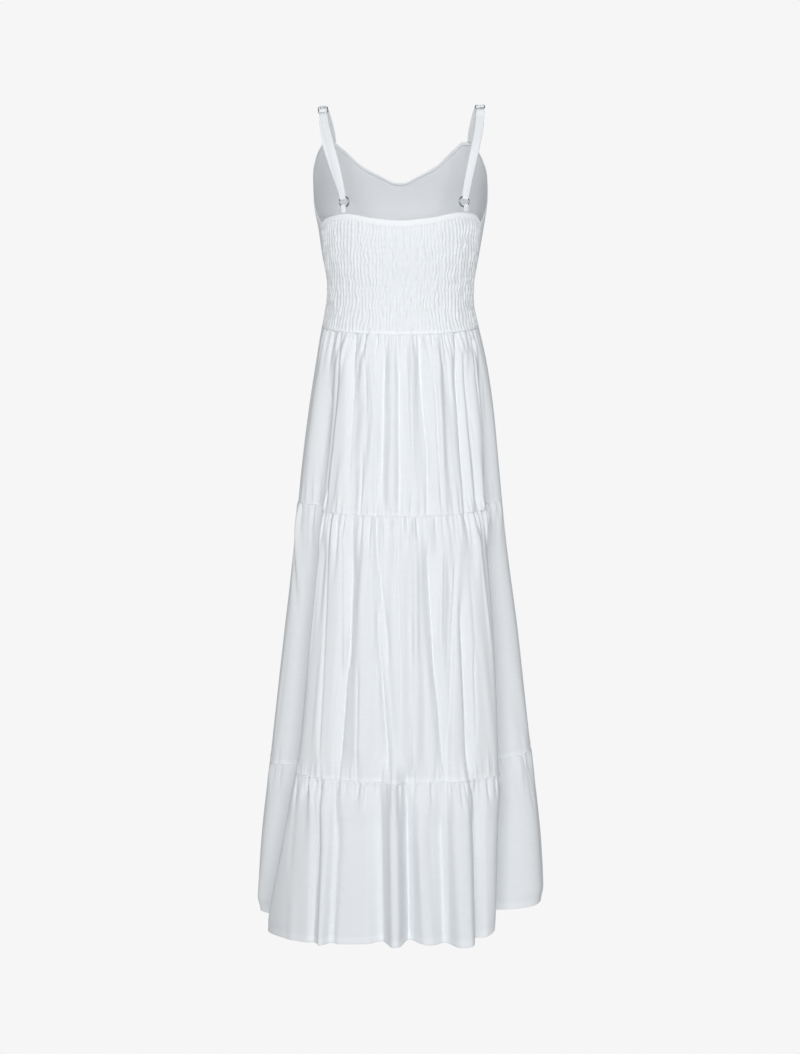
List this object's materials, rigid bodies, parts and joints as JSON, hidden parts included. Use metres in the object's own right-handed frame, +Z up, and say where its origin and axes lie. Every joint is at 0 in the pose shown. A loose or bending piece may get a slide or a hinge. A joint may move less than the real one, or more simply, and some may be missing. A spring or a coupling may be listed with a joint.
{
  "type": "tiered maxi sundress",
  "caption": "Sleeveless tiered maxi sundress, shirred back, V-neck front and adjustable shoulder straps, filled out as worn with nobody in it.",
  "frame": {"origin": "shoulder level, midway between the tops of the two straps, where the wearer's shoulders hold the dress", "axes": "+Z up, the wearer faces -Y and their left is +X"},
  "size_m": [0.468, 0.4339, 1.317],
  "materials": {
    "cloth": "matt plain weave",
    "strap": "smooth folded strap of the same cloth",
    "metal": "polished"
  },
  "bodies": {
    "root": {"bodice_front": "cloth", "bodice_back": "cloth", "back_band": "cloth", "strap_left": "strap", "strap_right": "strap", "tab_left": "strap", "tab_right": "strap", "slider_left": "metal", "slider_right": "metal", "ring_left": "metal", "ring_right": "metal", "skirt_top_front": "cloth", "skirt_top_back": "cloth", "skirt_mid_front": "cloth", "skirt_mid_back": "cloth", "skirt_hem_front": "cloth", "skirt_hem_back": "cloth"}
  },
  "joints": []
}
